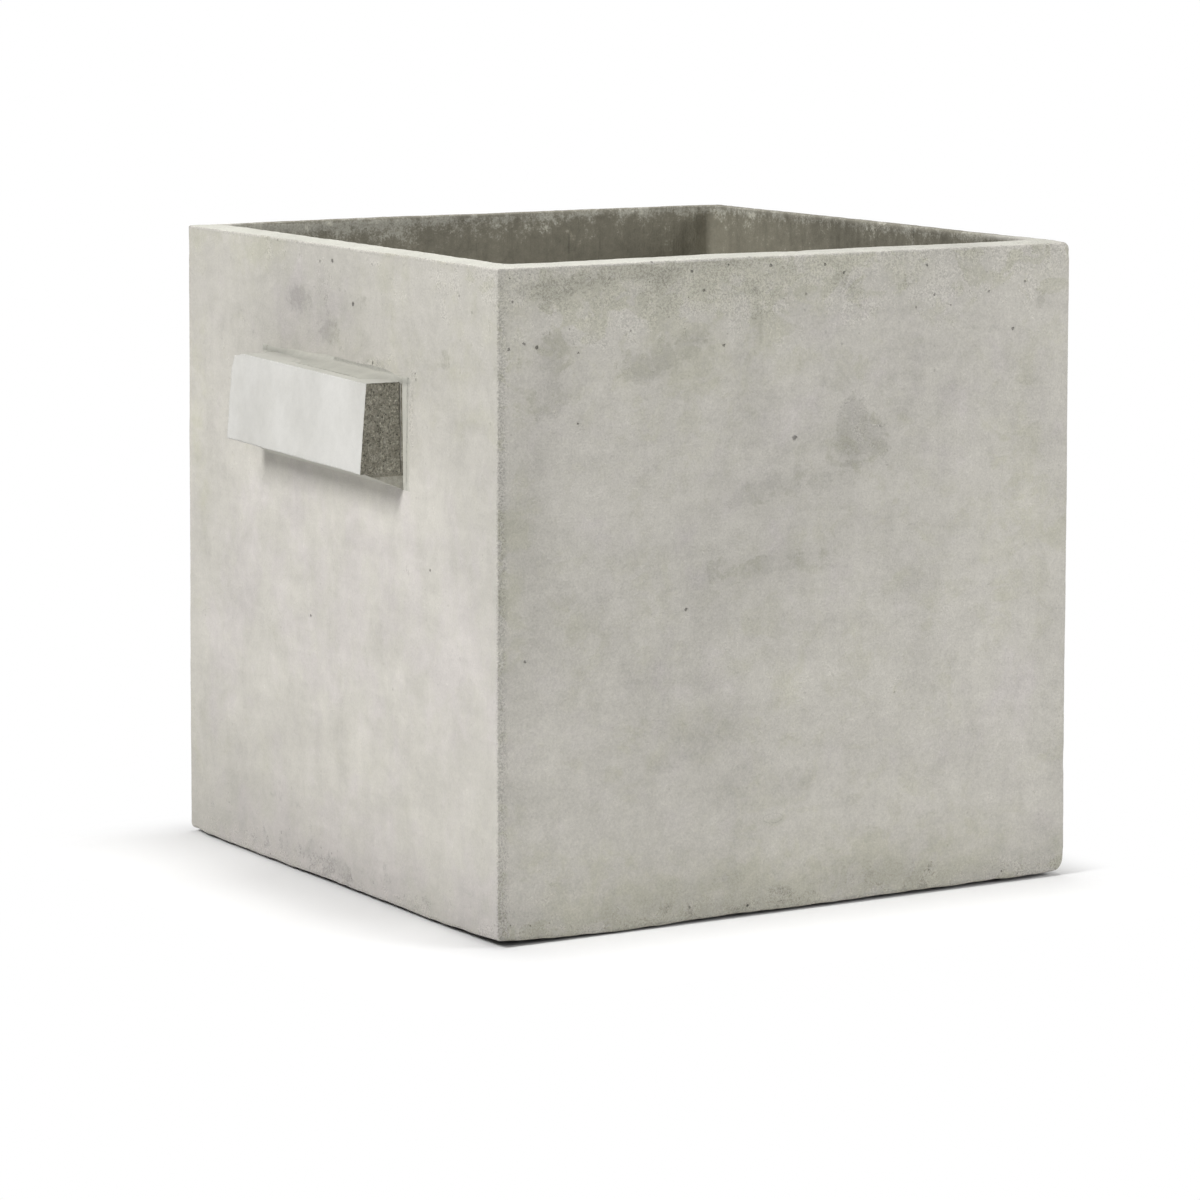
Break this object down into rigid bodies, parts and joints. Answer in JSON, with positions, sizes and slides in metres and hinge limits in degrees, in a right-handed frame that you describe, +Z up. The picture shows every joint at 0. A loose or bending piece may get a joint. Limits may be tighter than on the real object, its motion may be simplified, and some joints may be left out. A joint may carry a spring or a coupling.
{
  "type": "planter box",
  "caption": "Square open-topped planter box cast in concrete, with block handles set in mortar on two side walls, a lift-out drain plug and thin foot pads.",
  "frame": {"origin": "on the ground under the middle of the box, at the bottom centre of the bounding box", "axes": "+Z up, -Y out of the front face, +X and -X out of the two walls that carry the handles"},
  "size_m": [0.4128, 0.3594, 0.3525],
  "materials": {
    "cast_concrete": "matte",
    "handle_concrete": "matte",
    "bedding_mortar": "matte",
    "dowel_steel": "satin",
    "plug_rubber": "matte",
    "pad_rubber": "matte"
  },
  "bodies": {
    "planter": {"planter_shell": "cast_concrete", "left_handle": "handle_concrete", "right_handle": "handle_concrete", "left_handle_mortar": "bedding_mortar", "right_handle_mortar": "bedding_mortar", "left_handle_dowel_front": "dowel_steel", "left_handle_dowel_back": "dowel_steel", "right_handle_dowel_front": "dowel_steel", "right_handle_dowel_back": "dowel_steel", "foot_pad_front_left": "pad_rubber", "foot_pad_front_right": "pad_rubber", "foot_pad_back_left": "pad_rubber", "foot_pad_back_right": "pad_rubber"},
    "plug": {"drain_plug": "plug_rubber"}
  },
  "joints": [
    {"name": "plug_lift", "type": "slide", "parent": "planter", "child": "plug", "axis": [0, 0, 1], "range_m": [0, 0.36]}
  ]
}
